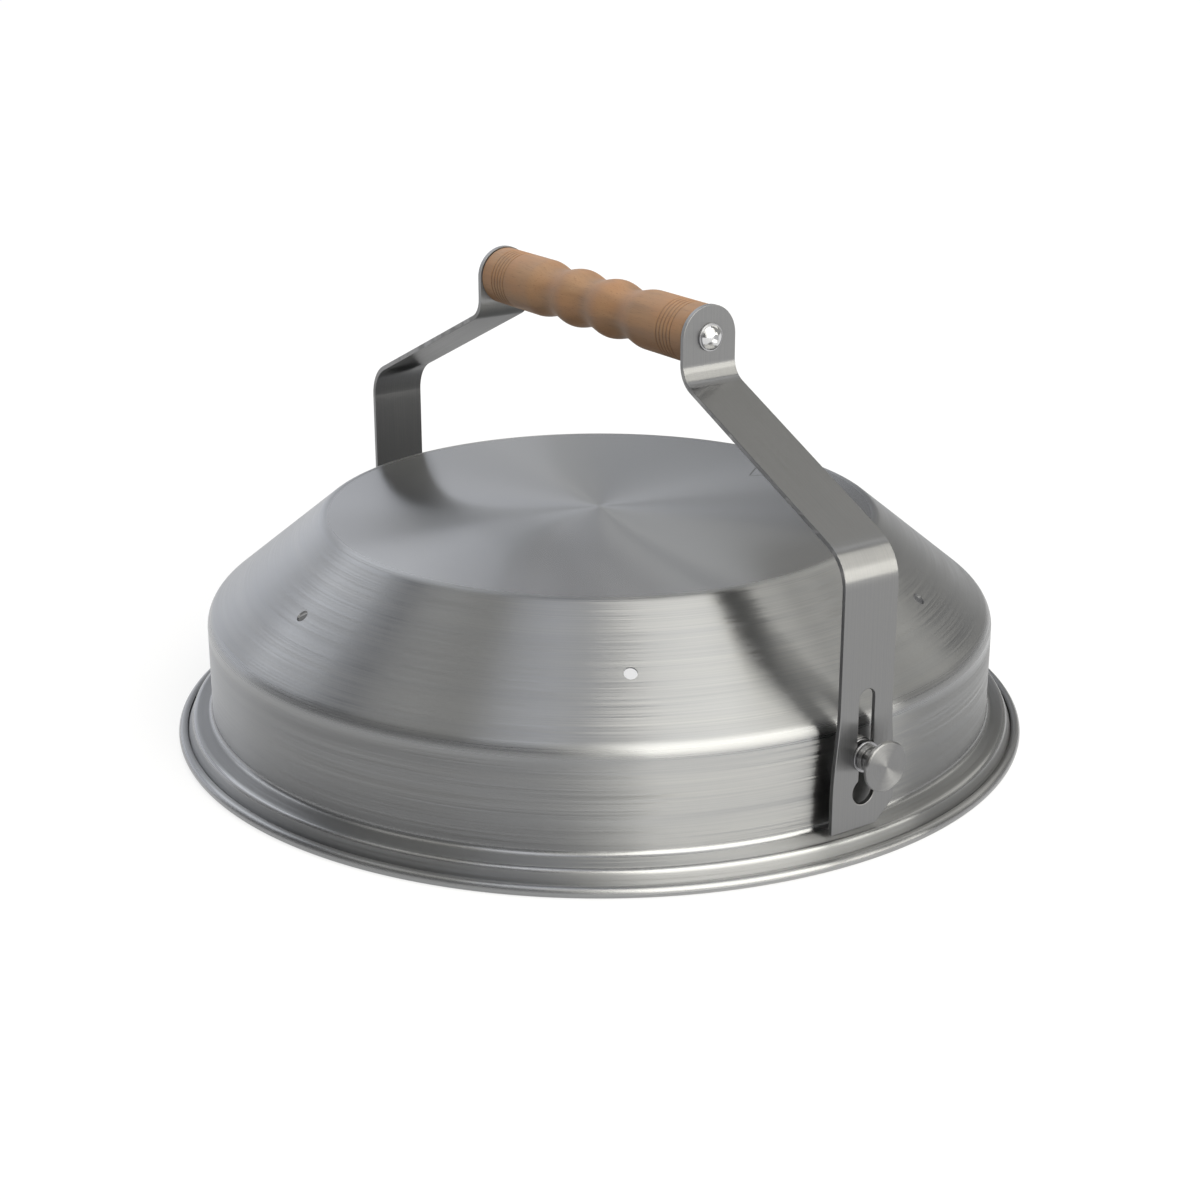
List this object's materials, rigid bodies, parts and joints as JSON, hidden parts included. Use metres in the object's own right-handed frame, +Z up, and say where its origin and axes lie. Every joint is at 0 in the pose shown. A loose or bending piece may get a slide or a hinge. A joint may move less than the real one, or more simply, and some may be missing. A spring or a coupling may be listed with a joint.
{
  "type": "portable pizza oven dome",
  "caption": "Stainless baking dome with vents and a rolled rim, carried by a strap handle with a wooden grip that lifts on its keyholes and folds down.",
  "frame": {"origin": "centre of the rolled rim's underside, on the surface that the dome rests on", "axes": "+X along the grip towards the right-hand arm, +Y towards the side that the handle folds to, +Z up"},
  "size_m": [0.3682, 0.36, 0.1906],
  "materials": {
    "dome_steel": "spun, fine brushed rings",
    "strap_steel": "brushed lengthwise",
    "knob_steel": "turned face, bright",
    "turned_steel": "turned",
    "washer_steel": "bright zinc-free stainless",
    "screw_steel": "polished",
    "insert_brass": "plain turned",
    "grip_wood": "oiled brown hardwood"
  },
  "bodies": {
    "lid": {"dome": "dome_steel", "pivot_boss_right": "turned_steel", "pivot_boss_left": "turned_steel", "boss_washer_right": "washer_steel", "boss_washer_left": "washer_steel", "boss_nut_right": "turned_steel", "boss_nut_left": "turned_steel"},
    "slider": {"outer_washer_right": "washer_steel", "outer_washer_left": "washer_steel", "inner_washer_right": "washer_steel", "inner_washer_left": "washer_steel"},
    "handle": {"arm_right": "strap_steel", "arm_left": "strap_steel", "grip": "grip_wood", "grip_insert_right": "insert_brass", "grip_insert_left": "insert_brass", "grip_washer_right": "washer_steel", "grip_washer_left": "washer_steel", "grip_screw_right": "screw_steel", "grip_screw_left": "screw_steel"},
    "knob_right": {"knob_right": "knob_steel"},
    "knob_left": {"knob_left": "knob_steel"}
  },
  "joints": [
    {"name": "handle_fold", "type": "hinge", "parent": "lid", "child": "slider", "pos_m": [0, 0, 0.0393], "axis": [-1, 0, 0], "range_deg": [0, 60]},
    {"name": "handle_lift", "type": "slide", "parent": "slider", "child": "handle", "axis": [0, 0, 1], "range_m": [0, 0.0165]},
    {"name": "knob_right_turn", "type": "hinge", "parent": "lid", "child": "knob_right", "pos_m": [0.1731, 0, 0.0393], "axis": [1, 0, 0], "range_deg": [0, 720]},
    {"name": "knob_left_turn", "type": "hinge", "parent": "lid", "child": "knob_left", "pos_m": [-0.1731, 0, 0.0393], "axis": [-1, 0, 0], "range_deg": [0, 720]}
  ]
}
